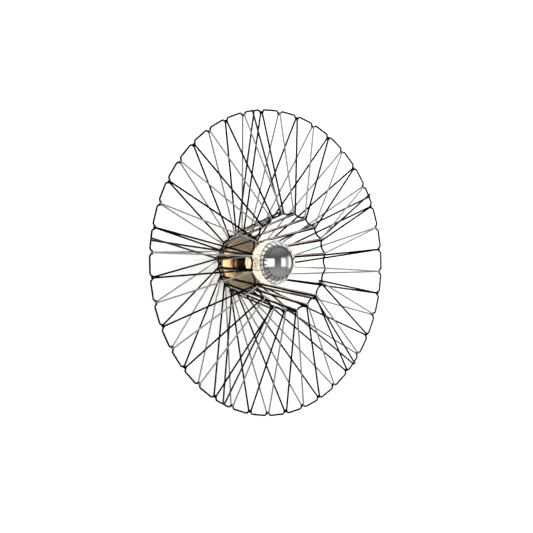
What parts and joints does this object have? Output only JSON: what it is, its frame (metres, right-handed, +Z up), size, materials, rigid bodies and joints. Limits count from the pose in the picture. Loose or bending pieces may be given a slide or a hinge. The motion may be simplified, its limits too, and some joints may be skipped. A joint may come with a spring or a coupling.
{
  "type": "cage wall light",
  "caption": "Round wall light: scalloped wire wheel wound with two cords, round a crown-mirrored globe bulb on a brass canopy.",
  "frame": {"origin": "on the wall plane, on the light's axis, at the centre of the wall plate's back face", "axes": "+Z up the wall, -Y out of the wall towards the room, +X to the right for someone facing the light"},
  "size_m": [0.54, 0.1392, 0.54],
  "materials": {
    "black_steel": "satin black powder coat",
    "black_cord": "matt black cord",
    "grey_cord": "matt grey cord",
    "zinc_steel": "zinc plated",
    "brass": "brushed brass",
    "polished_brass": "polished brass",
    "rubber": "matt",
    "phenolic": "black thermoset",
    "nickel_shell": "nickel plated",
    "block_plastic": "white",
    "brown_lead": "brown insulation",
    "blue_lead": "blue insulation",
    "earth_lead": "green and yellow insulation",
    "mirror": "silvered glass",
    "clear_glass": "clear",
    "cap_metal": "screw cap",
    "black_glass": "black vitrite",
    "solder": "solder",
    "filament": "warm phosphor",
    "support_wire": "bright wire"
  },
  "bodies": {
    "light": {"back_ring": "black_steel", "back_rod_1": "black_steel", "back_rod_2": "black_steel", "back_rod_3": "black_steel", "back_rod_4": "black_steel", "back_rod_5": "black_steel", "black_cord": "black_cord", "brass_canopy": "brass", "cable_grommet": "rubber", "canopy_locknut": "polished_brass", "earth_lead": "earth_lead", "earth_terminal": "zinc_steel", "front_ring": "black_steel", "front_rod_1": "black_steel", "front_rod_2": "black_steel", "front_rod_3": "black_steel", "front_rod_4": "black_steel", "front_rod_5": "black_steel", "grey_cord": "grey_cord", "holder_body": "phenolic", "holder_screws": "zinc_steel", "holder_sleeve": "polished_brass", "holder_thread_shell": "nickel_shell", "live_lead": "brown_lead", "neutral_lead": "blue_lead", "rim_ring": "black_steel", "stay_1": "black_steel", "stay_2": "black_steel", "stay_3": "black_steel", "stay_4": "black_steel", "stay_5": "black_steel", "terminal_block": "block_plastic", "terminal_screws": "zinc_steel", "wall_plate": "zinc_steel"},
    "bulb": {"bulb_filament_frame": "support_wire", "bulb_filaments": "filament", "bulb_glass": "clear_glass", "bulb_insulator": "black_glass", "bulb_mirror_crown": "mirror", "bulb_screw_cap": "cap_metal", "bulb_stem": "clear_glass", "bulb_tip": "solder"},
    "contact": {"centre_contact": "nickel_shell"}
  },
  "joints": [
    {"name": "bulb_out", "type": "slide", "parent": "light", "child": "bulb", "axis": [0, -1, 0], "range_m": [0, 0.16]},
    {"name": "contact_press", "type": "slide", "parent": "light", "child": "contact", "axis": [0, 1, 0], "range_m": [0, 0.001], "stiffness_N_per_m": 2000}
  ]
}
